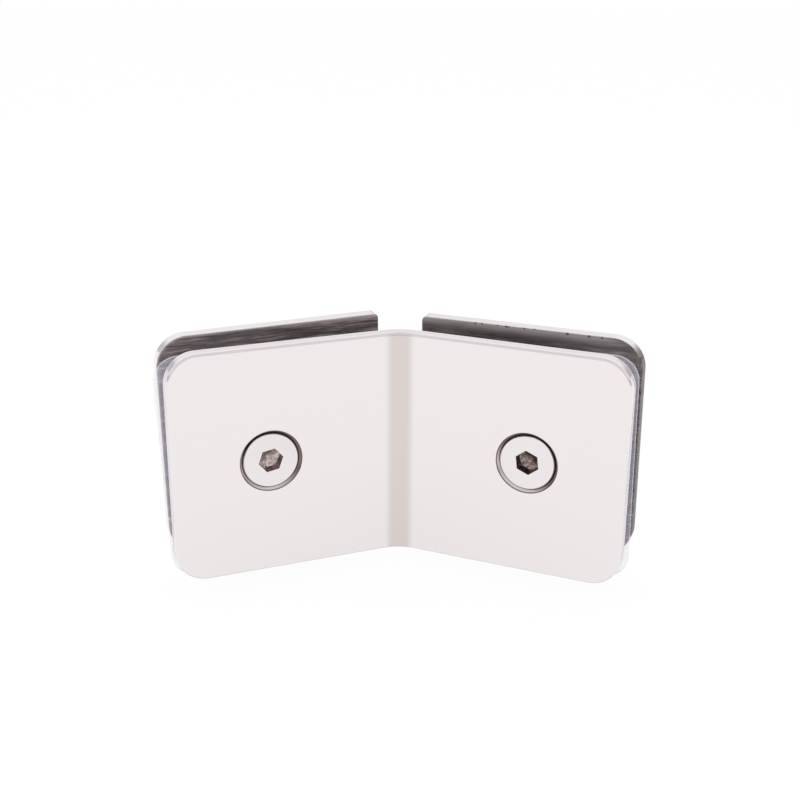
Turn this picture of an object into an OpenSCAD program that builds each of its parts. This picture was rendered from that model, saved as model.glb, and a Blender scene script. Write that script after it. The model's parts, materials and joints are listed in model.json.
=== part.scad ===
// Corner glass clamp: a bent front plate, two back plates on threaded bosses, clear gaskets
// and two countersunk screws.
// It stands upright on its bottom edges, with the hollow side of the bend facing -Y.
// The origin is where the two front faces would meet at the bottom, +X to the right and +Z up.

/* [Front plate] */
// Height of the front plate
height = 45; // [40:0.5:60]
// Length of each wing, from where the front faces would meet to the outer end
wing_length = 45; // [42:0.5:60]
// Angle between the two wings, in degrees
corner_angle = 135; // [120:1:150]
// Thickness of the bent sheet
sheet_thickness = 3; // [3:0.1:4]
// Radius of the bend on its hollow side
bend_radius = 8; // [4:0.5:10]
// Radius of the outer corners of the front plate
front_corner_radius = 6; // [2:0.5:10]
// Rounding of the edges on the polished sides of all plates
polished_edge = 0.5; // [0.2:0.05:0.8]
// Rounding of the edges on the glass sides of all plates
glass_side_edge = 0.2; // [0.1:0.05:0.6]

/* [Back plates] */
// How far the back plates stay above the bottom of the front plate
back_foot_gap = 0.2; // [0.2:0.1:2]
// Length of a back plate past the line of the bend
back_inner_length = 0.75; // [0:0.05:2]
// How far a back plate stays short of the outer end of its wing
back_end_inset = 1; // [0:0.1:4]
// Thickness of each back plate
back_thickness = 3; // [2.6:0.1:5]
// Radius of the outer corners of a back plate
back_outer_radius = 6; // [2:0.5:10]
// Radius of the corners beside the bend
back_inner_radius = 1; // [0.8:0.1:5]
// Turn of the left back plate on its screw, outer end down, in degrees
left_back_turn = 0.7; // [-2:0.1:2]
// Turn of the right back plate on its screw, outer end down, in degrees
right_back_turn = -0.4; // [-2:0.1:2]

/* [Glass gap] */
// Distance between the front plate and the back plates as the clamp stands
plate_gap = 10; // [10:0.1:12]
// Distance from the screw to the outer end of a wing
screw_outer_margin = 19; // [18:0.5:24]

/* [Boss] */
// Diameter of the boss that passes through the glass
boss_diameter = 12; // [10:0.1:14]
// Length of the boss in front of the back plate
boss_length = 8.9; // [8:0.1:9]
// Diameter of the spigot that is pressed into the back plate
spigot_diameter = 9; // [8:0.1:9.5]
// Length of the spigot
spigot_length = 2; // [1:0.1:2.2]
// Chamfer at the free end of the boss
boss_chamfer = 0.5; // [0.2:0.1:1]

/* [Screws] */
// Nominal diameter of the screw thread
thread_diameter = 6; // [5:0.5:6.5]
// Length of the screw over its head
screw_length = 12; // [11:0.5:12.5]
// Diameter of the flat top of the screw head
head_diameter = 10.75; // [10:0.05:11.2]
// Height of the straight rim of the screw head
head_rim = 0.4; // [0.2:0.05:0.6]
// Chamfer round the flat top of the screw head
head_chamfer = 0.15; // [0.05:0.05:0.3]
// Width of the hexagon socket across its flats
key_width = 4.25; // [4:0.05:4.5]
// Depth of the hexagon socket
key_depth = 2.3; // [1.5:0.1:2.5]
// Turn of the left socket in degrees
left_key_turn = 10; // [0:1:60]
// Turn of the right socket in degrees
right_key_turn = 23; // [0:1:60]

/* [Countersinks] */
// Angle of the countersinks and of the cones of the screw heads, in degrees
countersink_angle = 90; // [84:1:90]
// Diameter of each countersink at the front face
countersink_diameter = 12.3; // [12.2:0.05:13.5]
// Diameter of the hole behind the countersink
through_diameter = 6.6; // [6.5:0.1:7]

/* [Gaskets] */
// Thickness of a gasket
gasket_thickness = 1; // [0.5:0.1:1.2]
// Distance from the line of the bend to the inner end of a gasket
gasket_bend_gap = 7; // [5:0.5:12]
// How far a gasket stays inside the height of the front plate, at the top and the bottom
gasket_edge_inset = 0.5; // [0.5:0.1:3]
// Radius of the corners of a gasket
gasket_corner_radius = 4.5; // [1:0.1:8]
// Gap between a boss and the hole in its gaskets, all round
gasket_boss_gap = 1.25; // [1.1:0.05:1.7]
// How far the gaskets sit above the middle of the plates
gasket_lift = 0.1; // [0.1:0.05:0.3]
// How far the left front gasket has slipped past the end of its wing
left_gasket_slip = 0.9; // [0:0.05:0.95]
// How far the right front gasket has slipped past the end of its wing
right_gasket_slip = 0.55; // [0:0.05:0.95]
// How far the gaskets on the back plates have slipped towards the bend
rear_gasket_slip = 0.9; // [0:0.05:0.95]
// Turn of the left front gasket, outer end down, in degrees
left_gasket_turn = 2.2; // [-3:0.1:3]
// Turn of the right front gasket, outer end down, in degrees
right_gasket_turn = -0.75; // [-3:0.05:3]

/* [Sleeves] */
// Wall thickness of the sleeve that centres the glass on the boss
sleeve_wall = 1.8; // [1.4:0.1:2.6]
// Length of the sleeve
sleeve_length = 6.8; // [5:0.1:6.8]

/* [Clearances] */
// Radial clearance between turning parts
running_clearance = 0.06; // [0.03:0.01:0.1]
// Gap between the cone of a screw head and its countersink
seat_clearance = 0.05; // [0.02:0.01:0.1]

/* [Hidden] */
$fn = 96;
slack = 1;
half_bend = (180 - corner_angle) / 2;
grid = 1000;
// Where the flat of a wing starts, in whole thousandths, so that the lengths that follow from it are exact
flat_start = round(grid * bend_radius * tan(half_bend)) / grid;
bend_overlap = 10;
outer_bend_radius = bend_radius + sheet_thickness;
screw_place = wing_length - screw_outer_margin;
mid_height = height / 2;
back_depth = sheet_thickness + plate_gap;
back_height = height - back_foot_gap;
gasket_width = wing_length - gasket_bend_gap;
gasket_height = height - 2 * gasket_edge_inset;
gasket_hole = boss_diameter + 2 * gasket_boss_gap;
sleeve_bore = boss_diameter + 2 * running_clearance;
sleeve_diameter = sleeve_bore + 2 * sleeve_wall;
cone_slope = tan(countersink_angle / 2);
countersink_depth = (countersink_diameter - through_diameter) / 2 / cone_slope;
shank_radius = thread_diameter / 2 - running_clearance;
head_radius = head_diameter / 2;
cone_depth = (head_radius - shank_radius) / cone_slope;
head_top = (countersink_diameter / 2 - head_radius - seat_clearance) / cone_slope - head_rim;
key_corner_radius = key_width / 2 / cos(30);
key_point_angle = 60;
tip_chamfer = 0.6;
point_width = 0.01;
steel = "gainsboro";
clear = [0.86, 0.86, 0.93, 0.45];

// Puts what is drawn for a wing on the left (-1) or right (1) wing, with x along the wing
// and y behind its front face
module on_wing(side) {
    mirror([side < 0 ? 1 : 0, 0, 0])
        rotate([0, 0, -half_bend])
            children();
}

// Stands up what is drawn flat, with its underside at the given depth and its top towards the front
module stand_up(depth) {
    translate([0, depth, 0])
        rotate([90, 0, 0])
            children();
}

// Puts what is drawn round the z axis on the screw's axis, with z running back from the given depth
module on_screw_axis(depth) {
    translate([screw_place, depth, mid_height])
        rotate([-90, 0, 0])
            children();
}

// Turns a piece of a wing about its screw, outer end down
module turn_about_screw(turn) {
    translate([screw_place, 0, mid_height])
        rotate([0, turn, 0])
            translate([-screw_place, 0, -mid_height])
                children();
}

// A rectangle from x0 to x1 with one corner radius at each end
module rounded_outline(x0, x1, tall, radius0, radius1) {
    difference() {
        translate([x0, 0])
            square([x1 - x0, tall]);
        for (top = [0, 1]) {
            translate([x0, top * tall])
                mirror([0, top])
                    corner_waste(radius0);
            translate([x1, top * tall])
                mirror([1, 0])
                    mirror([0, top])
                        corner_waste(radius1);
        }
    }
}

// What rounding takes off a square corner at the origin
module corner_waste(radius) {
    difference() {
        translate([-slack, -slack])
            square(radius + slack);
        translate([radius, radius])
            circle(radius);
    }
}

// What rounding takes off the two long edges of a plate: x inwards from its side, y from its underside
module edge_waste(thickness, bottom_edge, top_edge) {
    corner_waste(bottom_edge);
    translate([0, thickness])
        mirror([0, 1])
            corner_waste(top_edge);
}

// The same along a straight side that runs along +x, with the plate on its +y side
module straight_edge_waste(length, thickness, bottom_edge, top_edge) {
    rotate([90, 0, 90])
        linear_extrude(length)
            edge_waste(thickness, bottom_edge, top_edge);
}

// The same round a quarter corner whose centre is the origin, from +x to +y
module corner_edge_waste(radius, thickness, bottom_edge, top_edge) {
    rotate_extrude(angle = 90)
        translate([radius, 0])
            mirror([1, 0])
                edge_waste(thickness, bottom_edge, top_edge);
}

// The rounded edges of a flat plate from x0 to x1, apart from its end at x0 where that is joined
module plate_edge_waste(x0, x1, tall, radius0, radius1, thickness,
                        bottom_edge, top_edge, joined) {
    for (top = [0, 1])
        translate([0, top * tall, 0])
            mirror([0, top, 0]) {
                translate([x0 + radius0, 0, 0])
                    straight_edge_waste(x1 - x0 - radius0 - radius1, thickness, bottom_edge, top_edge);
                translate([x1 - radius1, radius1, 0])
                    rotate([0, 0, -90])
                        corner_edge_waste(radius1, thickness, bottom_edge, top_edge);
                if (!joined)
                    translate([x0 + radius0, radius0, 0])
                        rotate([0, 0, 180])
                            corner_edge_waste(radius0, thickness, bottom_edge, top_edge);
            }
    translate([x1, radius1, 0])
        rotate([0, 0, 90])
            straight_edge_waste(tall - 2 * radius1, thickness, bottom_edge, top_edge);
    if (!joined)
        translate([x0, tall - radius0, 0])
            rotate([0, 0, -90])
                straight_edge_waste(tall - 2 * radius0, thickness, bottom_edge, top_edge);
}

// Half of the bend and a little more, joined to the flat of its wing
module half_bend_arc() {
    translate([flat_start, -bend_radius, 0])
        rotate([0, 0, 90])
            rotate_extrude(angle = half_bend + bend_overlap)
                difference() {
                    translate([bend_radius, 0])
                        square([sheet_thickness, height]);
                    for (top = [0, 1])
                        translate([outer_bend_radius, top * height])
                            mirror([0, top])
                                rotate(90)
                                    edge_waste(sheet_thickness, glass_side_edge, polished_edge);
                }
}

// One flat wing of the front plate, with its rounded edges
module wing() {
    stand_up(sheet_thickness)
        difference() {
            linear_extrude(sheet_thickness)
                rounded_outline(flat_start, wing_length, height, 0, front_corner_radius);
            plate_edge_waste(flat_start, wing_length, height, 0, front_corner_radius,
                             sheet_thickness, glass_side_edge, polished_edge, true);
        }
}

// The hole for a countersunk screw
module countersunk_hole() {
    on_screw_axis(0) {
        translate([0, 0, -slack])
            cylinder(h = sheet_thickness + 2 * slack, d = through_diameter);
        cylinder(h = countersink_depth, d1 = countersink_diameter, d2 = through_diameter);
        translate([0, 0, -slack])
            cylinder(h = slack, d = countersink_diameter);
    }
}

// The front plate from the middle of its bend to its right end
module front_half() {
    difference() {
        on_wing(1)
            difference() {
                union() {
                    half_bend_arc();
                    wing();
                }
                countersunk_hole();
            }
        translate([-height, -height, -slack])
            cube([height, 2 * height, height + 2 * slack]);
    }
}

module front_plate() {
    color(steel)
        for (side = [0, 1])
            mirror([side, 0, 0])
                front_half();
}

// A clear gasket on the glass side of a plate, its face against the plate at the given depth
module gasket(depth, slip, turn) {
    color(clear)
        translate([slip, 0, gasket_lift])
            turn_about_screw(turn)
                stand_up(depth + gasket_thickness)
                    translate([gasket_bend_gap, gasket_edge_inset, 0])
                        linear_extrude(gasket_thickness)
                            difference() {
                                rounded_outline(0, gasket_width, gasket_height,
                                                gasket_corner_radius, gasket_corner_radius);
                                translate([screw_place - gasket_bend_gap, gasket_height / 2])
                                    circle(d = gasket_hole);
                            }
}

// A countersunk screw with a hexagon socket
module screw(key_turn) {
    color(steel)
        on_screw_axis(head_top)
            difference() {
                rotate_extrude()
                    polygon([
                        [0, 0],
                        [head_radius - head_chamfer, 0],
                        [head_radius, head_chamfer],
                        [head_radius, head_rim],
                        [shank_radius, head_rim + cone_depth],
                        [shank_radius, screw_length - tip_chamfer],
                        [shank_radius - tip_chamfer, screw_length],
                        [0, screw_length]
                    ]);
                rotate([0, 0, key_turn]) {
                    translate([0, 0, -slack])
                        cylinder(h = key_depth + slack, r = key_corner_radius, $fn = 6);
                    translate([0, 0, key_depth])
                        cylinder(h = key_width / 2 / tan(key_point_angle), d1 = key_width, d2 = point_width);
                }
            }
}

// The soft sleeve on the boss, against the gasket of the back plate
module sleeve() {
    color(clear)
        on_screw_axis(back_depth - gasket_thickness - sleeve_length)
            difference() {
                cylinder(h = sleeve_length, d = sleeve_diameter);
                translate([0, 0, -slack])
                    cylinder(h = sleeve_length + 2 * slack, d = sleeve_bore);
            }
}

// The threaded boss, pressed into the back plate by its spigot
module boss() {
    full_length = boss_length + spigot_length;
    color(steel)
        on_screw_axis(back_depth - boss_length)
            difference() {
                union() {
                    cylinder(h = boss_chamfer, d1 = boss_diameter - 2 * boss_chamfer, d2 = boss_diameter);
                    translate([0, 0, boss_chamfer])
                        cylinder(h = boss_length - boss_chamfer, d = boss_diameter);
                    cylinder(h = full_length, d = spigot_diameter);
                }
                translate([0, 0, -slack])
                    cylinder(h = full_length + 2 * slack, d = thread_diameter);
                translate([0, 0, -slack])
                    cylinder(h = slack + boss_chamfer,
                             d1 = thread_diameter + 2 * (slack + boss_chamfer), d2 = thread_diameter);
            }
}

// A back plate, turned a little on its screw
module back_plate(turn) {
    outer_end = wing_length - back_end_inset;
    color(steel)
        turn_about_screw(turn)
            difference() {
                stand_up(back_depth + back_thickness)
                    translate([0, back_foot_gap, 0])
                        difference() {
                            linear_extrude(back_thickness)
                                rounded_outline(-back_inner_length, outer_end, back_height,
                                                back_inner_radius, back_outer_radius);
                            plate_edge_waste(-back_inner_length, outer_end, back_height,
                                             back_inner_radius, back_outer_radius, back_thickness,
                                             polished_edge, glass_side_edge, false);
                        }
                on_screw_axis(back_depth - slack)
                    cylinder(h = slack + spigot_length, d = spigot_diameter);
            }
}

front_plate();

on_wing(-1) gasket(sheet_thickness, left_gasket_slip, left_gasket_turn);  // left_front_gasket
on_wing(-1) screw(left_key_turn);  // left_screw
on_wing(-1) gasket(back_depth - gasket_thickness, -rear_gasket_slip, 0);  // left_rear_gasket
on_wing(-1) sleeve();  // left_sleeve
on_wing(-1) boss();  // left_boss
on_wing(-1) back_plate(left_back_turn);  // left_back_plate

on_wing(1) gasket(sheet_thickness, right_gasket_slip, right_gasket_turn);  // right_front_gasket
on_wing(1) screw(right_key_turn);  // right_screw
on_wing(1) gasket(back_depth - gasket_thickness, -rear_gasket_slip, 0);  // right_rear_gasket
on_wing(1) sleeve();  // right_sleeve
on_wing(1) boss();  // right_boss
on_wing(1) back_plate(right_back_turn);  // right_back_plate
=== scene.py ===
"""Looks of the corner glass clamp: materials, floor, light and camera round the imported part."""
import json
import math

import bmesh
import bpy
from mathutils import Matrix, Vector


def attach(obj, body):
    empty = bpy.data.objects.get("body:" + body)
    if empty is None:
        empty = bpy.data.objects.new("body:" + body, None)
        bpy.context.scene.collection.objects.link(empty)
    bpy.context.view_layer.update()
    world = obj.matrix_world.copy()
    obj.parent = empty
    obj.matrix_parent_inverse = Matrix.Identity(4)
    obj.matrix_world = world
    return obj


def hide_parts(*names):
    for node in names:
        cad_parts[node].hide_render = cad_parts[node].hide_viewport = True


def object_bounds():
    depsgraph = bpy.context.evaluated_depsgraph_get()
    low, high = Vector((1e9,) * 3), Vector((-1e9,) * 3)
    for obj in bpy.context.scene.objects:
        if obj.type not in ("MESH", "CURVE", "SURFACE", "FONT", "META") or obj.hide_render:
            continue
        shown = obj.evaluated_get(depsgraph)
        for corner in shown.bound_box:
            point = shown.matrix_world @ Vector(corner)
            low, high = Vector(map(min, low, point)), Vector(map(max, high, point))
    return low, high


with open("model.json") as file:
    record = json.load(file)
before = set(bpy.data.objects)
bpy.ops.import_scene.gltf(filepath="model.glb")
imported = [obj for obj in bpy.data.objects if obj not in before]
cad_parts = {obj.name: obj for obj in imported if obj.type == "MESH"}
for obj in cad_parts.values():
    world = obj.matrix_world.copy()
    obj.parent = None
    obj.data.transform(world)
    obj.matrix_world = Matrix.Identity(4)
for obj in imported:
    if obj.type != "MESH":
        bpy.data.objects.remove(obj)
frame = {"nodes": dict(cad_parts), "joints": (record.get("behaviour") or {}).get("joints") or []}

bl_info = {
    "name": "Corner glass clamp",
    "version": (1, 0, 0),
    "blender": (4, 5, 0),
    "location": "View3D > Sidebar > Clamp",
    "description": "Dresses the packed corner glass clamp with its finishes, stage and camera",
    "category": "Object",
}

SIDES = ("left", "right")
NODES = frame["nodes"]
JOINTS = {joint["name"]: joint for joint in frame["joints"]}
CAD_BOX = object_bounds()
MM = 0.001

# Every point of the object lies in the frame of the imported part: metres, +Z up, the hollow side of the bend at -Y
UP = Vector((0, 0, 1))
# How far each back plate is turned on its screw, outer end down
BACK_TURN = {"left": math.radians(0.7), "right": math.radians(-0.4)}


# How far each back plate swivels on its screw, either way
SWIVEL = math.radians(12)
# What keeps a soft piece clear of the face that it lies against
CLEAR = 0.02 * MM
# Full turns a metre, times two pi, of the painted reflection bands along the narrow sides and of the grooves round the
# screws
SIDE_REFLECTION_BANDS = 2 * math.pi / (2.35 * MM)
GROOVES = 2 * math.pi / (0.27 * MM)
# The brushed glass side of each back plate, dark with painted shade between the plates: the left one streaky, the
# right one calmer with a lighter, chipped edge
BRUSHED = {
    "left": {"turn": math.radians(-22.5), "across": 4200.0, "along": 210.0, "contrast": 1.6, "sharpness": 2.2,
             "dark": (0.064, 0.05, 0.049, 1), "calm": 0.7, "lighter_edge_width": 0.7 * MM, "lighter_edge_end": 0.5,
             "lighter_edge_colour": (0.75, 0.69, 0.69, 1), "light": (0.42, 0.335, 0.325, 1), "darker_past_gasket": 0.2,
             "chips": 0.0, "over_end": 0.0},
    "right": {"turn": math.radians(22.5), "across": 2600.0, "along": 260.0, "contrast": 0.7, "sharpness": 3.0,
              "dark": (0.056, 0.044, 0.045, 1), "calm": 0.5, "lighter_edge_width": 2.4 * MM, "lighter_edge_end": 0.03,
              "lighter_edge_colour": (0.5, 0.445, 0.448, 1), "light": (0.5, 0.41, 0.4, 1), "darker_past_gasket": 0.15,
              "chips": 0.8, "over_end": 1.0},
}
# The painted light and painted shade of each hexagon socket, the left socket lit more than the right
SOCKET_LIGHT_AND_SHADE = {"left": ((0.78, 0.68, 0.66, 1), (0.36, 0.3, 0.285, 1)), "right": ((0.46, 0.37, 0.35, 1), (0.15, 0.11, 0.1, 1))}


def screw_point(side):
    """The point where a screw's axis meets the front face."""
    return Vector(JOINTS[f"{side}_screw_turn"]["pos_m"])


def rear_direction(side):
    """The direction from the front face of a wing to its glass."""
    return -Vector(JOINTS[f"{side}_screw_turn"]["axis"])


def wing_direction(side):
    """The direction from the bend to the outer end of a wing."""
    return rear_direction(side).cross(UP) * (1 if side == "right" else -1)


def lowest_swing():
    """The lowest height that a corner of a back plate comes to as the plate swivels."""
    heights = []
    for side in SIDES:
        for vertex in NODES[f"{side}_back_plate"].data.vertices:
            offset = vertex.co - screw_point(side)
            level, aside = offset.dot(UP), offset.dot(wing_direction(side))
            heights.append(screw_point(side).z + level * math.cos(SWIVEL) - abs(aside) * math.sin(SWIVEL))
    return min(heights)


def reach(node, origin, direction):
    """How far a node reaches from a point along a direction, at its least and at its most."""
    distances = [(vertex.co - origin).dot(direction) for vertex in NODES[node].data.vertices]
    return min(distances), max(distances)


class Tree:
    """A few words for building node trees."""

    def __init__(self, tree):
        self.tree = tree
        self.nodes = tree.nodes
        self.place = 0

    def add(self, kind, inputs=None, **settings):
        node = self.nodes.new(kind)
        self.place += 1
        node.location = (180 * self.place, 0)
        for name, value in settings.items():
            setattr(node, name, value)
        for name, value in (inputs or {}).items():
            self.set(node, name, value)
        return node

    def set(self, node, name, value):
        socket = node.inputs[name]
        if isinstance(value, bpy.types.NodeSocket):
            self.tree.links.new(value, socket)
        else:
            socket.default_value = value

    def math(self, operation, a, b=0.5, clamp=False):
        node = self.add("ShaderNodeMath", {0: a, 1: b}, operation=operation, use_clamp=clamp)
        return node.outputs[0]

    def mix(self, factor, a, b, blend="MIX"):
        node = self.add("ShaderNodeMix", data_type="RGBA", blend_type=blend)
        for socket, value in ((0, factor), (6, a), (7, b)):
            self.set(node, socket, value)
        return node.outputs[2]

    def ramp(self, value, low, high, to_low=0.0, to_high=1.0, shape="SMOOTHSTEP"):
        node = self.add("ShaderNodeMapRange", {0: value, 1: low, 2: high, 3: to_low, 4: to_high}, clamp=True)
        node.interpolation_type = shape
        return node.outputs[0]

    def dot(self, vector, direction):
        return self.add("ShaderNodeVectorMath", {0: vector, 1: tuple(direction)},
                        operation="DOT_PRODUCT").outputs["Value"]

    def past(self, value, limit, margin):
        """How far a value lies past a margin before its limit, or zero."""
        return self.math("MAXIMUM", self.math("SUBTRACT", value, self.math("SUBTRACT", limit, margin)), 0.0)

    def group(self, group, **values):
        node = self.add("ShaderNodeGroup", node_tree=group)
        for name, value in values.items():
            self.set(node, name.replace("_", " "), value)
        return node


def shader_group(name, inputs, outputs):
    """An empty node group with named sockets, and its input and output nodes."""
    group = bpy.data.node_groups.new(name, "ShaderNodeTree")
    for socket, (kind, value) in inputs.items():
        made = group.interface.new_socket(socket, in_out="INPUT", socket_type="NodeSocket" + kind)
        if value is not None:
            made.default_value = value
    for socket, kind in outputs.items():
        group.interface.new_socket(socket, in_out="OUTPUT", socket_type="NodeSocket" + kind)
    tree = Tree(group)
    return tree, tree.add("NodeGroupInput"), tree.add("NodeGroupOutput")


def brushed_grain_group():
    """Long fine streaks across a plate, as an abrasive belt leaves them."""
    tree, given, result = shader_group(
        "brushed grain",
        {"Position": ("Vector", None), "Turn": ("Float", 0.0), "Across": ("Float", 5200.0),
         "Along": ("Float", 110.0), "Contrast": ("Float", 0.5)},
        {"Streak": "Float", "Height": "Float"})
    turned = tree.add("ShaderNodeVectorRotate", {"Vector": given.outputs["Position"], "Angle": given.outputs["Turn"]},
                      rotation_type="Z_AXIS")
    parts = tree.add("ShaderNodeSeparateXYZ", {0: turned.outputs[0]})
    lined = tree.add("ShaderNodeCombineXYZ", {
        "X": tree.math("MULTIPLY", parts.outputs["X"], given.outputs["Along"]),
        "Y": tree.math("MULTIPLY", parts.outputs["Y"], given.outputs["Along"]),
        "Z": tree.math("MULTIPLY", parts.outputs["Z"], given.outputs["Across"])})
    fine = tree.add("ShaderNodeTexNoise", {"Vector": lined.outputs[0], "Scale": 1.0, "Detail": 5.0, "Roughness": 0.6})
    wide = tree.add("ShaderNodeTexNoise", {"Vector": lined.outputs[0], "Scale": 0.27, "Detail": 2.0, "Roughness": 0.5})
    both = tree.math("MULTIPLY", tree.math("ADD", fine.outputs[0], wide.outputs[0]), 0.5)
    centred = tree.math("MULTIPLY", tree.math("SUBTRACT", both, 0.5), given.outputs["Contrast"])
    tree.set(result, "Streak", tree.math("ADD", tree.math("MULTIPLY", centred, 4.0), 0.5, clamp=True))
    tree.set(result, "Height", both)
    return tree.tree


def plate_outline_group():
    """How far a point lies inside the outline of a plate, near its outer end and its long edges."""
    tree, given, result = shader_group(
        "plate outline",
        {"Along": ("Float", 0.0), "Rise": ("Float", 0.0), "End": ("Float", 18 * MM), "Half Height": ("Float", 22 * MM),
         "Radius": ("Float", 6 * MM)},
        {"Inset": "Float"})
    side = tree.math("ABSOLUTE", given.outputs["Rise"])
    past_end = tree.past(given.outputs["Along"], given.outputs["End"], given.outputs["Radius"])
    past_side = tree.past(side, given.outputs["Half Height"], given.outputs["Radius"])
    squares = tree.math("ADD", tree.math("MULTIPLY", past_end, past_end), tree.math("MULTIPLY", past_side, past_side))
    tree.set(result, "Inset", tree.math("SUBTRACT", given.outputs["Radius"], tree.math("SQRT", squares)))
    return tree.tree


def handling_group():
    """Soft cloudy smudges and rare fine scratches of handled metal, as a mask."""
    tree, given, result = shader_group(
        "handling marks",
        {"Position": ("Vector", None), "Amount": ("Float", 0.5)},
        {"Smudge": "Float", "Scratch": "Float"})
    cloud = tree.add("ShaderNodeTexNoise", {"Vector": given.outputs["Position"], "Scale": 95.0, "Detail": 4.0,
                                            "Roughness": 0.55, "Distortion": 0.6})
    smudge = tree.ramp(cloud.outputs[0], 0.45, 0.75)
    tree.set(result, "Smudge", tree.math("MULTIPLY", smudge, given.outputs["Amount"]))
    warped = tree.add("ShaderNodeTexNoise", {"Vector": given.outputs["Position"], "Scale": 60.0, "Detail": 1.0})
    bent = tree.add("ShaderNodeVectorMath", {0: warped.outputs[1], "Scale": 0.004}, operation="SCALE")
    moved = tree.add("ShaderNodeVectorMath", {0: given.outputs["Position"], 1: bent.outputs[0]}, operation="ADD")
    cells = tree.add("ShaderNodeTexVoronoi", {"Vector": moved.outputs[0], "Scale": 170.0}, feature="DISTANCE_TO_EDGE")
    line = tree.ramp(cells.outputs[0], 0.0, 0.012, 1.0, 0.0)
    rare = tree.ramp(cloud.outputs[0], 0.58, 0.62)
    tree.set(result, "Scratch", tree.math("MULTIPLY", tree.math("MULTIPLY", line, rare), given.outputs["Amount"]))
    return tree.tree


def new_material(name):
    material = bpy.data.materials.new(name)
    material.use_nodes = True
    tree = Tree(material.node_tree)
    shader = tree.nodes["Principled BSDF"]
    return material, tree, shader


def object_position(tree):
    return tree.add("ShaderNodeTexCoord").outputs["Object"]


def from_screw(tree, position, side):
    """Sockets round a screw: the offset from its point, the distance from its axis and the depth behind the face."""
    offset = tree.add("ShaderNodeVectorMath", {0: position, 1: tuple(screw_point(side))}, operation="SUBTRACT")
    depth = tree.dot(offset.outputs[0], rear_direction(side))
    length = tree.add("ShaderNodeVectorMath", {0: offset.outputs[0]}, operation="LENGTH").outputs["Value"]
    squares = tree.math("SUBTRACT", tree.math("MULTIPLY", length, length), tree.math("MULTIPLY", depth, depth))
    return offset.outputs[0], tree.math("SQRT", tree.math("MAXIMUM", squares, 0.0)), depth


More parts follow.
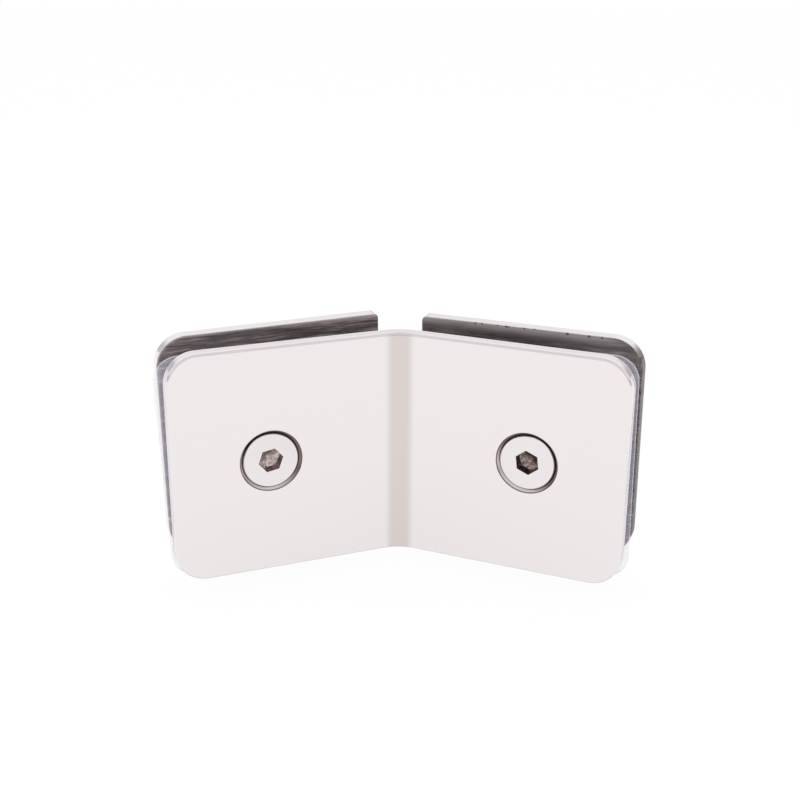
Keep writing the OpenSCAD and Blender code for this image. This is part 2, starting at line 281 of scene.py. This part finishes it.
def front_steel(finish, groups):
    """The bent front plate: mirror finish, rougher at the bend and painted with shade there, turned countersinks with
    painted light and shade, brushed glass side.
    """
    material, tree, shader = new_material("polished_steel")
    position = object_position(tree)
    parts = tree.add("ShaderNodeSeparateXYZ", {0: position})
    from_middle = tree.math("ABSOLUTE", parts.outputs["X"])
    mirrored = tree.add("ShaderNodeCombineXYZ", {
        "X": from_middle, "Y": parts.outputs["Y"], "Z": parts.outputs["Z"]}).outputs[0]
    offset, away, depth = from_screw(tree, mirrored, "right")
    offsets = tree.add("ShaderNodeSeparateXYZ", {0: offset})
    streaks = tree.group(groups["grain"], Position=position, Contrast=0.18)
    handled = tree.group(groups["marks"], Position=position, Amount=0.35)

    # Painted shade across the bend, where the plate is also rougher
    bend = tree.ramp(from_middle, 1.2 * MM, 3.1 * MM, 1.0, 0.0)
    tone = tree.mix(bend, tuple(finish.polish_colour) + (1,), (0.685, 0.622, 0.608, 1))
    cloudy = tree.mix(tree.math("MULTIPLY", handled.outputs["Smudge"], 0.1), tone, (0.82, 0.79, 0.8, 1))

    # The narrow sides carry painted light and dark bands along the plate, standing in for the reflections on them,
    # made uneven by noise
    end = reach("front_plate", screw_point("right"), wing_direction("right"))[1]
    half_height = reach("front_plate", screw_point("right"), UP)[1]
    inset = tree.group(groups["outline"], Along=tree.dot(offset, wing_direction("right")),
                       Rise=offsets.outputs["Z"], End=end, Half_Height=half_height).outputs["Inset"]
    narrow = tree.ramp(inset, 0.1 * MM, 0.3 * MM, 1.0, 0.0)
    reflection_bands = tree.math("COSINE", tree.math("MULTIPLY", tree.math("SUBTRACT", depth, 2.9 * MM), SIDE_REFLECTION_BANDS), 0.0)
    uneven = tree.add("ShaderNodeTexNoise", {"Vector": position, "Scale": 160.0, "Detail": 2.0})
    lined = tree.math("MULTIPLY", tree.math("MULTIPLY", reflection_bands, uneven.outputs[0]), 0.5)
    sides = tree.mix(tree.math("SUBTRACT", 0.2, lined), (0.84, 0.78, 0.8, 1), (0.66, 0.6, 0.62, 1))
    shaded = tree.mix(narrow, cloudy, sides)
    # A painted grey line on the front rounding of the top and bottom edges stands in for the shade that it reflects
    edge_reflection_shade = tree.math("MULTIPLY", tree.ramp(inset, 0.22 * MM, 0.38 * MM, 0.5, 0.0),
                      tree.ramp(depth, 0.15 * MM, 0.5 * MM, 1.0, 0.0))
    edge_reflection_shade = tree.math("MULTIPLY", edge_reflection_shade, tree.ramp(tree.math("ABSOLUTE", offsets.outputs["Z"]),
                                                   half_height - 4 * MM, half_height - 1 * MM))
    shaded = tree.mix(edge_reflection_shade, shaded, (0.5, 0.44, 0.46, 1))

    # The countersinks stay as they were turned, rougher and darker than the face; on that, painted shade falls above
    # and to the right of each screw, painted light below and to the left, and a painted dark line at the mouth
    recess = tree.math("MULTIPLY", tree.ramp(away, 6.12 * MM, 6.16 * MM, 1.0, 0.0),
                       tree.ramp(depth, 0.01 * MM, 0.06 * MM))
    across = tree.math("MULTIPLY", offsets.outputs["X"], tree.math("SIGN", parts.outputs["X"]))
    lean = tree.math("DIVIDE", tree.math("ADD", tree.math("MULTIPLY", across, -0.6),
                                         tree.math("MULTIPLY", offsets.outputs["Z"], -0.8)), 6 * MM)
    painted_lit_side = tree.ramp(lean, -0.15, 0.85)
    grooves = tree.math("SINE", tree.math("MULTIPLY", away, GROOVES), 0.0)
    turned = tree.mix(painted_lit_side, (0.24, 0.185, 0.17, 1), (0.74, 0.69, 0.68, 1))
    turned = tree.mix(tree.ramp(grooves, 0.1, 0.9, 0.0, 0.45), turned, (0.14, 0.11, 0.1, 1))
    mouth_shade = tree.ramp(away, 5.82 * MM, 5.98 * MM)
    turned = tree.mix(tree.math("MULTIPLY", mouth_shade, 0.85), turned, (0.13, 0.095, 0.088, 1))
    dressed = tree.mix(recess, shaded, turned)

    glass_side = tree.ramp(depth, 2.96 * MM, 2.99 * MM)
    brushed = tree.mix(streaks.outputs["Streak"], (0.36, 0.32, 0.315, 1), (0.62, 0.57, 0.565, 1))
    tree.set(shader, "Base Color", tree.mix(glass_side, dressed, brushed))
    shader.inputs["Metallic"].default_value = 1.0
    rough = tree.math("ADD", tree.math("MULTIPLY", streaks.outputs["Streak"], 0.03), finish.polish_roughness)
    for mask, more in ((bend, 0.06), (recess, 0.2), (glass_side, 0.28), (handled.outputs["Smudge"], 0.05)):
        rough = tree.math("ADD", rough, tree.math("MULTIPLY", mask, more))
    tree.set(shader, "Roughness", rough)
    bump = tree.add("ShaderNodeBump", {"Strength": 0.05, "Distance": 0.00002, "Height": streaks.outputs["Height"]})
    tree.set(shader, "Normal", bump.outputs[0])
    return material


def back_steel(side, finish, groups):
    """A back plate: polished outside and on its edges, belt-brushed on the glass side, whose dark tone is painted
    shade between the plates.
    """
    material, tree, shader = new_material(f"{side}_back_steel")
    position = object_position(tree)
    offset, away, depth = from_screw(tree, position, side)
    turn = BACK_TURN[side]
    along_plate = wing_direction(side) * math.cos(turn) - UP * math.sin(turn)
    up_plate = wing_direction(side) * math.sin(turn) + UP * math.cos(turn)
    node = f"{side}_back_plate"
    end = reach(node, screw_point(side), along_plate)[1]
    low, high = reach(node, screw_point(side), up_plate)
    glass_face = reach(node, screw_point(side), rear_direction(side))[0]
    along = tree.dot(offset, along_plate)
    rise = tree.math("SUBTRACT", tree.dot(offset, up_plate), (low + high) / 2)
    inset = tree.group(groups["outline"], Along=along, Rise=rise, End=end,
                       Half_Height=(high - low) / 2).outputs["Inset"]
    inside = tree.ramp(depth, glass_face + 0.02 * MM, glass_face + 0.14 * MM, 1.0, 0.0)

    look = BRUSHED[side]
    streaks = tree.group(groups["grain"], Position=position, Turn=look["turn"], Across=look["across"],
                         Along=look["along"], Contrast=finish.brush_contrast * look["contrast"])
    handled = tree.group(groups["marks"], Position=position, Amount=0.5)
    strong = tree.ramp(tree.math("ABSOLUTE", tree.math("ADD", along, 7 * MM)), 5 * MM, 17 * MM, look["calm"], 1.0)
    bright = tree.math("MULTIPLY", tree.math("POWER", streaks.outputs["Streak"], look["sharpness"]), strong)
    # The dark tone is painted shade between the plates; the brushed streaks lift it towards the light tone
    brushed = tree.mix(bright, look["dark"], look["light"])
    # Lighter towards the plate's outline, fading towards the outer end
    lighter_edge = tree.math("POWER", tree.ramp(inset, 0.0, look["lighter_edge_width"], 1.0, 0.0, "LINEAR"), 1.7)
    lighter_edge = tree.math("MULTIPLY", lighter_edge, tree.ramp(along, end - 9 * MM, end - 2 * MM, 1.0, look["lighter_edge_end"]))
    brushed = tree.mix(lighter_edge, brushed, look["lighter_edge_colour"])

    # Past the gasket the glass side is painted darker, most past its outer end, and it clears again towards the inner
    # end
    gasket = f"{side}_rear_gasket"
    inner, outer = reach(gasket, screw_point(side), wing_direction(side))
    bottom, top = reach(gasket, screw_point(side), UP)
    on_wing = tree.dot(offset, wing_direction(side))
    from_centre = tree.math("ABSOLUTE", tree.math("SUBTRACT", on_wing, (inner + outer) / 2))
    lift = tree.math("SUBTRACT", tree.dot(offset, UP), (bottom + top) / 2)
    clung = tree.group(groups["outline"], Along=from_centre, Rise=lift, End=(outer - inner) / 2,
                       Half_Height=(top - bottom) / 2, Radius=4.5 * MM).outputs["Inset"]
    darker_past_gasket = tree.math("MULTIPLY", tree.ramp(clung, -0.04 * MM, 0.04 * MM, 1.0, 0.0), look["darker_past_gasket"])
    darker_past_gasket = tree.math("MULTIPLY", darker_past_gasket, tree.ramp(on_wing, inner - 7 * MM, inner, 0.35, 1.0))
    darker_past_gasket = tree.math("MULTIPLY", darker_past_gasket, tree.ramp(on_wing, inner, outer, 1.0, 1.5))
    brushed = tree.mix(darker_past_gasket, brushed, (0, 0, 0, 1))
    specks = tree.add("ShaderNodeTexNoise", {"Vector": position, "Scale": 900.0, "Detail": 1.0})
    chips = tree.math("MULTIPLY", tree.ramp(specks.outputs[0], 0.63, 0.68),
                      tree.ramp(inset, 0.35 * MM, 0.7 * MM, look["chips"], 0.0))
    brushed = tree.mix(chips, brushed, (0.03, 0.022, 0.022, 1))

    # The brushing runs over the outer end of the right plate and fades towards its back
    over_end = tree.math("MULTIPLY", tree.ramp(along, end - 2.5 * MM, end - 0.5 * MM, 0.0, look["over_end"]),
                         tree.ramp(depth, glass_face, glass_face + 11 * MM, 1.0, 0.0))
    over_end = tree.math("MULTIPLY", over_end, tree.ramp(inset, 0.2 * MM, 0.45 * MM, 1.0, 0.0))
    share = tree.math("MAXIMUM", inside, over_end)
    tree.set(shader, "Base Color", tree.mix(share, tuple(finish.polish_colour) + (1,), brushed))
    tree.set(shader, "Metallic", tree.math("SUBTRACT", 1.0, tree.math("MULTIPLY", inside, 0.85)))
    dull = tree.math("ADD", tree.math("MULTIPLY", streaks.outputs["Streak"], 0.12), 0.36)
    fine = tree.math("ADD", tree.math("MULTIPLY", handled.outputs["Smudge"], 0.05), finish.polish_roughness)
    rough = tree.math("ADD", tree.math("MULTIPLY", dull, share),
                      tree.math("MULTIPLY", fine, tree.math("SUBTRACT", 1.0, share)))
    tree.set(shader, "Roughness", rough)
    bump = tree.add("ShaderNodeBump", {"Strength": tree.math("MULTIPLY", share, 0.5), "Distance": 0.00003,
                                       "Height": streaks.outputs["Height"]})
    tree.set(shader, "Normal", bump.outputs[0])
    return material


def screw_steel(side, finish, groups):
    """A screw: bright flat head, mottled socket painted in light and shade, painted shade on the side of the head and
    down the shank.
    """
    material, tree, shader = new_material(f"{side}_screw_steel")
    position = object_position(tree)
    away, depth = from_screw(tree, position, side)[1:]
    in_socket = tree.math("MULTIPLY", tree.ramp(away, 2.46 * MM, 2.56 * MM, 1.0, 0.0),
                          tree.ramp(depth, 0.36 * MM, 0.6 * MM))
    grooves = tree.math("SINE", tree.math("MULTIPLY", away, GROOVES), 0.0)
    handled = tree.group(groups["marks"], Position=position, Amount=0.6)
    bright = tree.mix(handled.outputs["Smudge"], (0.82, 0.775, 0.775, 1), (0.765, 0.72, 0.725, 1))
    # Painted shade on the head's side and below it, for the shaded gap round the head
    shade_below_head = tree.ramp(depth, 0.46 * MM, 0.52 * MM)
    plain = tree.mix(shade_below_head, bright, (0.34, 0.29, 0.28, 1))
    mottle = tree.add("ShaderNodeTexNoise", {"Vector": position, "Scale": 1900.0, "Detail": 3.0, "Roughness": 0.7})
    # The socket's floor and walls are painted in light and shade, mottled by noise
    light, dark = SOCKET_LIGHT_AND_SHADE[side]
    socket = tree.mix(tree.ramp(mottle.outputs[0], 0.38, 0.64), dark, light)
    tree.set(shader, "Base Color", tree.mix(in_socket, plain, socket))
    shader.inputs["Metallic"].default_value = 1.0
    rough = tree.math("ADD", tree.math("MULTIPLY", grooves, 0.015), finish.polish_roughness + 0.08)
    tree.set(shader, "Roughness", tree.math("ADD", rough, tree.math("MULTIPLY", in_socket, 0.2)))
    bump = tree.add("ShaderNodeBump", {"Strength": 0.12, "Distance": 0.00001, "Height": grooves})
    tree.set(shader, "Normal", bump.outputs[0])
    return material


def turned_steel(side):
    """A boss, with the fine rings that a lathe leaves along it."""
    material, tree, shader = new_material(f"{side}_boss_steel")
    position = object_position(tree)
    rings = tree.math("SINE", tree.math("MULTIPLY", tree.dot(position, rear_direction(side)), 36000.0), 0.0)
    uneven = tree.add("ShaderNodeTexNoise", {"Vector": position, "Scale": 700.0, "Detail": 3.0})
    level = tree.math("MULTIPLY", tree.math("ADD", rings, 1.0), uneven.outputs[0])
    tree.set(shader, "Base Color", tree.mix(tree.math("MULTIPLY", level, 0.5), (0.6, 0.58, 0.57, 1),
                                            (0.74, 0.72, 0.71, 1)))
    shader.inputs["Metallic"].default_value = 1.0
    tree.set(shader, "Roughness", tree.math("ADD", tree.math("MULTIPLY", level, 0.08), 0.22))
    bump = tree.add("ShaderNodeBump", {"Strength": 0.35, "Distance": 0.00002, "Height": rings})
    tree.set(shader, "Normal", bump.outputs[0])
    return material


def clear_plastic(name, colour, roughness, cloud_scale, face_cover, edge_cover):
    """Soft clear plastic: nearly unseen where it is looked through, milky where it is looked along.

    It is milkier towards the outer ends of the wings.
    """
    material, tree, shader = new_material(name)
    position = object_position(tree)
    cloud = tree.add("ShaderNodeTexNoise", {"Vector": position, "Scale": cloud_scale, "Detail": 3.0, "Roughness": 0.5})
    haze = tree.ramp(cloud.outputs[0], 0.35, 0.7)
    faint = tuple(0.93 * c for c in colour[:3]) + (1,)
    tree.set(shader, "Base Color", tree.mix(haze, colour, faint))
    tree.set(shader, "Roughness", tree.math("ADD", tree.math("MULTIPLY", haze, 0.05), roughness))
    facing = tree.add("ShaderNodeLayerWeight", {"Blend": 0.5}).outputs["Facing"]
    cover = tree.ramp(facing, 0.15, 0.85, face_cover, edge_cover)
    sideways = tree.math("ABSOLUTE", tree.add("ShaderNodeSeparateXYZ", {0: position}).outputs["X"])
    cover = tree.math("MULTIPLY", cover, tree.ramp(sideways, 20 * MM, 36 * MM, 0.1, 1.0))
    tree.set(shader, "Alpha", tree.math("ADD", cover, tree.math("MULTIPLY", haze, 0.25 * face_cover)))
    shader.inputs["Metallic"].default_value = 0.0
    shader.inputs["IOR"].default_value = 1.49
    bump = tree.add("ShaderNodeBump", {"Strength": 0.15, "Distance": 0.00006, "Height": cloud.outputs[0]})
    tree.set(shader, "Normal", bump.outputs[0])
    return material


def dress(node, material):
    """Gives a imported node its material."""
    slots = NODES[node].material_slots
    if not slots:
        raise RuntimeError(f"{node} has no material slot")
    for place in slots:
        place.material = material


def soft_piece(node, side, body, clear_near, clear_far, material):
    """A soft piece in the place of its CAD node, with rounded edges, clear of the metal that it lies against."""
    origin, direction = screw_point(side), rear_direction(side)
    near, far = reach(node, origin, direction)
    shape = bmesh.new()
    shape.from_mesh(NODES[node].data)
    bmesh.ops.remove_doubles(shape, verts=shape.verts, dist=0.001 * MM)
    bmesh.ops.dissolve_limit(shape, angle_limit=math.radians(1), verts=shape.verts, edges=shape.edges)
    corners = [edge for edge in shape.edges if len(edge.link_faces) == 2 and edge.calc_face_angle() > math.radians(60)]
    bmesh.ops.bevel(shape, geom=corners, offset=0.14 * MM, segments=2, profile=0.5, affect="EDGES", clamp_overlap=True)
    for vertex in shape.verts:
        share = ((vertex.co - origin).dot(direction) - near) / (far - near)
        vertex.co += direction * (clear_near * (1 - share) - clear_far * share)
    bmesh.ops.recalc_face_normals(shape, faces=shape.faces)
    bmesh.ops.triangulate(shape, faces=[face for face in shape.faces if len(face.verts) > 4])
    mesh = bpy.data.meshes.new(node + "_soft")
    shape.to_mesh(mesh)
    shape.free()
    mesh.shade_smooth()
    mesh.set_sharp_from_angle(angle=math.radians(40))
    mesh.materials.append(material)
    piece = bpy.data.objects.new(node + "_soft", mesh)
    bpy.context.scene.collection.objects.link(piece)
    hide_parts(node)
    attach(piece, body)
    return piece


def shared_groups():
    """The node groups that the materials share, made once."""
    makers = {"grain": ("brushed grain", brushed_grain_group), "outline": ("plate outline", plate_outline_group),
              "marks": ("handling marks", handling_group)}
    return {key: bpy.data.node_groups.get(name) or maker() for key, (name, maker) in makers.items()}


class ClampFinish(bpy.types.PropertyGroup):
    """Colours and finishes of the clamp."""
    polish_colour: bpy.props.FloatVectorProperty(
        name="Polished colour", description="Colour that polished steel reflects", subtype="COLOR",
        size=3, min=0, max=1, default=(0.833, 0.787, 0.793))
    polish_roughness: bpy.props.FloatProperty(
        name="Polish roughness", description="Roughness of the mirror finish", min=0.01, max=0.5, default=0.07)
    brush_contrast: bpy.props.FloatProperty(
        name="Brush contrast", description="How strongly the brushed streaks show", min=0, max=2, default=0.7)
    plastic_colour: bpy.props.FloatVectorProperty(
        name="Plastic colour", description="Tint of the clear gaskets and sleeves", subtype="COLOR",
        size=3, min=0, max=1, default=(0.82, 0.8, 0.9))


class ClampStage(bpy.types.PropertyGroup):
    """Floor, light and camera."""
    floor_size: bpy.props.FloatProperty(
        name="Floor size", description="Side of the square floor", subtype="DISTANCE", unit="LENGTH",
        min=0.5, max=20, default=6.0)
    floor_colour: bpy.props.FloatVectorProperty(
        name="Floor colour", description="Colour of the floor under the light", subtype="COLOR",
        size=3, min=0, max=1, default=(0.93, 0.93, 0.93))
    camera_place: bpy.props.FloatVectorProperty(
        name="Camera place", description="Where the camera stands", subtype="TRANSLATION", unit="LENGTH",
        size=3, default=(0.00315, -0.22298, 0.11189))
    camera_turn: bpy.props.FloatVectorProperty(
        name="Camera turn", description="Turn to the left, downward tilt and roll", subtype="EULER", unit="ROTATION",
        size=3, default=tuple(math.radians(a) for a in (-0.7994, 19.85, 0.26)))
    lens: bpy.props.FloatProperty(
        name="Lens", description="Focal length of the camera", subtype="DISTANCE_CAMERA", unit="CAMERA",
        min=10, max=300, default=55.10)


class CLAMP_OT_front_plate(bpy.types.Operator):
    """Polish the bent front plate"""
    bl_idname = "clamp.front_plate"
    bl_label = "Front plate"

    def execute(self, context):
        dress("front_plate", front_steel(context.scene.clamp_finish, shared_groups()))
        return {"FINISHED"}


class CLAMP_OT_back_plates(bpy.types.Operator):
    """Polish and brush the two back plates"""
    bl_idname = "clamp.back_plates"
    bl_label = "Back plates"

    def execute(self, context):
        for side in SIDES:
            dress(f"{side}_back_plate", back_steel(side, context.scene.clamp_finish, shared_groups()))
        return {"FINISHED"}


class CLAMP_OT_screws(bpy.types.Operator):
    """Finish the two screws and the bosses they turn in"""
    bl_idname = "clamp.screws"
    bl_label = "Screws and bosses"

    def execute(self, context):
        for side in SIDES:
            dress(f"{side}_screw", screw_steel(side, context.scene.clamp_finish, shared_groups()))
            dress(f"{side}_boss", turned_steel(side))
        return {"FINISHED"}


class CLAMP_OT_gaskets(bpy.types.Operator):
    """Make the gaskets and sleeves of clear soft plastic"""
    bl_idname = "clamp.gaskets"
    bl_label = "Gaskets and sleeves"

    def execute(self, context):
        colour = tuple(context.scene.clamp_finish.plastic_colour) + (1,)
        front = clear_plastic("clear_gasket", colour, 0.06, 240.0, 0.16, 0.42)
        rear = clear_plastic("clinging_gasket", colour, 0.06, 240.0, 0.015, 0.05)
        sleeve = clear_plastic("clear_sleeve", colour, 0.16, 400.0, 0.35, 0.8)
        for side in SIDES:
            soft_piece(f"{side}_front_gasket", side, "front", CLEAR, 0, front)
            soft_piece(f"{side}_rear_gasket", side, f"{side}_carriage", 0, CLEAR, rear)
            soft_piece(f"{side}_sleeve", side, f"{side}_carriage", 0, CLEAR, sleeve)
        return {"FINISHED"}


def lit_floor_material(colour):
    """A pale floor that reads white to the camera and in reflections, and still takes the object's shadow."""
    material, tree, diffuse = new_material("pale_floor")
    tree.nodes.remove(diffuse)
    plain = tree.add("ShaderNodeBsdfDiffuse", {"Color": tuple(colour) + (1,), "Roughness": 0.0})
    white = tree.add("ShaderNodeEmission", {"Color": (1, 1, 1, 1), "Strength": 1.0})
    path = tree.add("ShaderNodeLightPath")
    straight = tree.math("MAXIMUM", path.outputs["Is Camera Ray"], path.outputs["Is Transmission Ray"])
    seen = tree.math("MAXIMUM", tree.math("MULTIPLY", straight, 0.96),
                     tree.math("MULTIPLY", path.outputs["Is Glossy Ray"], 0.8))
    blend = tree.add("ShaderNodeMixShader", {0: seen, 1: plain.outputs[0], 2: white.outputs[0]})
    tree.set(tree.nodes["Material Output"], "Surface", blend.outputs[0])
    return material


def studio_world():
    """An even pale tent: white where it is seen or reflected, softer where it only lights."""
    world = bpy.data.worlds.new("studio")
    world.use_nodes = True
    bpy.context.scene.world = world
    tree = Tree(world.node_tree)
    path = tree.add("ShaderNodeLightPath")
    direction = tree.add("ShaderNodeTexCoord").outputs["Generated"]
    parts = tree.add("ShaderNodeSeparateXYZ", {0: direction})
    height = tree.math("ABSOLUTE", tree.math("SUBTRACT", parts.outputs["Z"], 0.1))
    horizon = tree.ramp(height, 0.04, 0.22, 1.0, 0.0)
    reflected = tree.mix(horizon, (1, 1, 1, 1), (0.6, 0.58, 0.59, 1))
    seen = tree.math("MAXIMUM", path.outputs["Is Camera Ray"], path.outputs["Is Transmission Ray"])
    lit = tree.mix(path.outputs["Is Glossy Ray"], (0.95, 0.95, 0.96, 1), reflected)
    colour = tree.mix(seen, lit, (1, 1, 1, 1))
    background = tree.nodes["Background"]
    tree.set(background, "Color", colour)
    background.inputs["Strength"].default_value = 1.0


def soft_lamp(name, place, aim, size, power):
    lamp = bpy.data.lights.new(name, "AREA")
    lamp.shape = "RECTANGLE"
    lamp.size, lamp.size_y = size
    lamp.energy = power
    holder = bpy.data.objects.new(name, lamp)
    bpy.context.scene.collection.objects.link(holder)
    holder.location = place
    holder.rotation_mode = "QUATERNION"
    holder.rotation_quaternion = (Vector(aim) - Vector(place)).to_track_quat("-Z", "Y")
    holder.visible_glossy = False
    holder.visible_transmission = False
    return holder


class CLAMP_OT_stage(bpy.types.Operator):
    """Make the floor, the soft light and the camera"""
    bl_idname = "clamp.stage"
    bl_label = "Stage"

    def execute(self, context):
        stage = context.scene.clamp_stage
        half = stage.floor_size / 2
        mesh = bpy.data.meshes.new("floor")
        mesh.from_pydata([(-half, -half, 0), (half, -half, 0), (half, half, 0), (-half, half, 0)], [], [(0, 1, 2, 3)])
        floor = bpy.data.objects.new("floor", mesh)
        context.scene.collection.objects.link(floor)
        floor.location = (0, 0, lowest_swing() - 0.05 * MM)
        mesh.materials.append(lit_floor_material(stage.floor_colour))
        studio_world()
        middle = (CAD_BOX[0] + CAD_BOX[1]) / 2
        soft_lamp("key_lamp", (-0.35, -0.45, 0.6), middle, (0.5, 0.5), 1.6)
        soft_lamp("fill_lamp", (0.5, -0.3, 0.4), middle, (0.5, 0.5), 0.7)
        soft_lamp("top_lamp", (0.0, 0.25, 0.7), middle, (0.6, 0.6), 0.9)
        camera = bpy.data.cameras.new("camera")
        camera.lens = stage.lens
        camera.sensor_width = 36.0
        camera.clip_start, camera.clip_end = 0.005, 50
        holder = bpy.data.objects.new("camera", camera)
        context.scene.collection.objects.link(holder)
        yaw, pitch, roll = stage.camera_turn
        forward = Vector((math.sin(yaw) * math.cos(pitch), math.cos(yaw) * math.cos(pitch), -math.sin(pitch)))
        across = Vector((math.cos(yaw), -math.sin(yaw), 0))
        upward = across.cross(forward)
        right = across * math.cos(roll) + upward * math.sin(roll)
        up = -across * math.sin(roll) + upward * math.cos(roll)
        holder.matrix_world = Matrix.Translation(Vector(stage.camera_place)) @ Matrix(
            (right, up, -forward)).transposed().to_4x4()
        context.scene.camera = holder
        context.scene.view_settings.view_transform = "Standard"
        return {"FINISHED"}


class CLAMP_PT_panel(bpy.types.Panel):
    """Lists the clamp's pieces and the stage"""
    bl_idname = "CLAMP_PT_panel"
    bl_label = "Corner glass clamp"
    bl_space_type = "VIEW_3D"
    bl_region_type = "UI"
    bl_category = "Clamp"

    def draw(self, context):
        layout = self.layout
        for settings in (context.scene.clamp_finish, context.scene.clamp_stage):
            box = layout.box()
            for name in settings.__annotations__:
                box.prop(settings, name)
        for operator in OPERATORS:
            layout.operator(operator.bl_idname)


OPERATORS = (CLAMP_OT_front_plate, CLAMP_OT_back_plates, CLAMP_OT_screws, CLAMP_OT_gaskets, CLAMP_OT_stage)
CLASSES = (ClampFinish, ClampStage, *OPERATORS, CLAMP_PT_panel)


def register():
    for cls in CLASSES:
        bpy.utils.register_class(cls)
    bpy.types.Scene.clamp_finish = bpy.props.PointerProperty(type=ClampFinish)
    bpy.types.Scene.clamp_stage = bpy.props.PointerProperty(type=ClampStage)


def unregister():
    del bpy.types.Scene.clamp_stage
    del bpy.types.Scene.clamp_finish
    for cls in reversed(CLASSES):
        bpy.utils.unregister_class(cls)


def main():
    register()
    bpy.ops.clamp.front_plate()
    bpy.ops.clamp.back_plates()
    bpy.ops.clamp.screws()
    bpy.ops.clamp.gaskets()
    bpy.ops.clamp.stage()


if __name__ == "__main__":
    main()
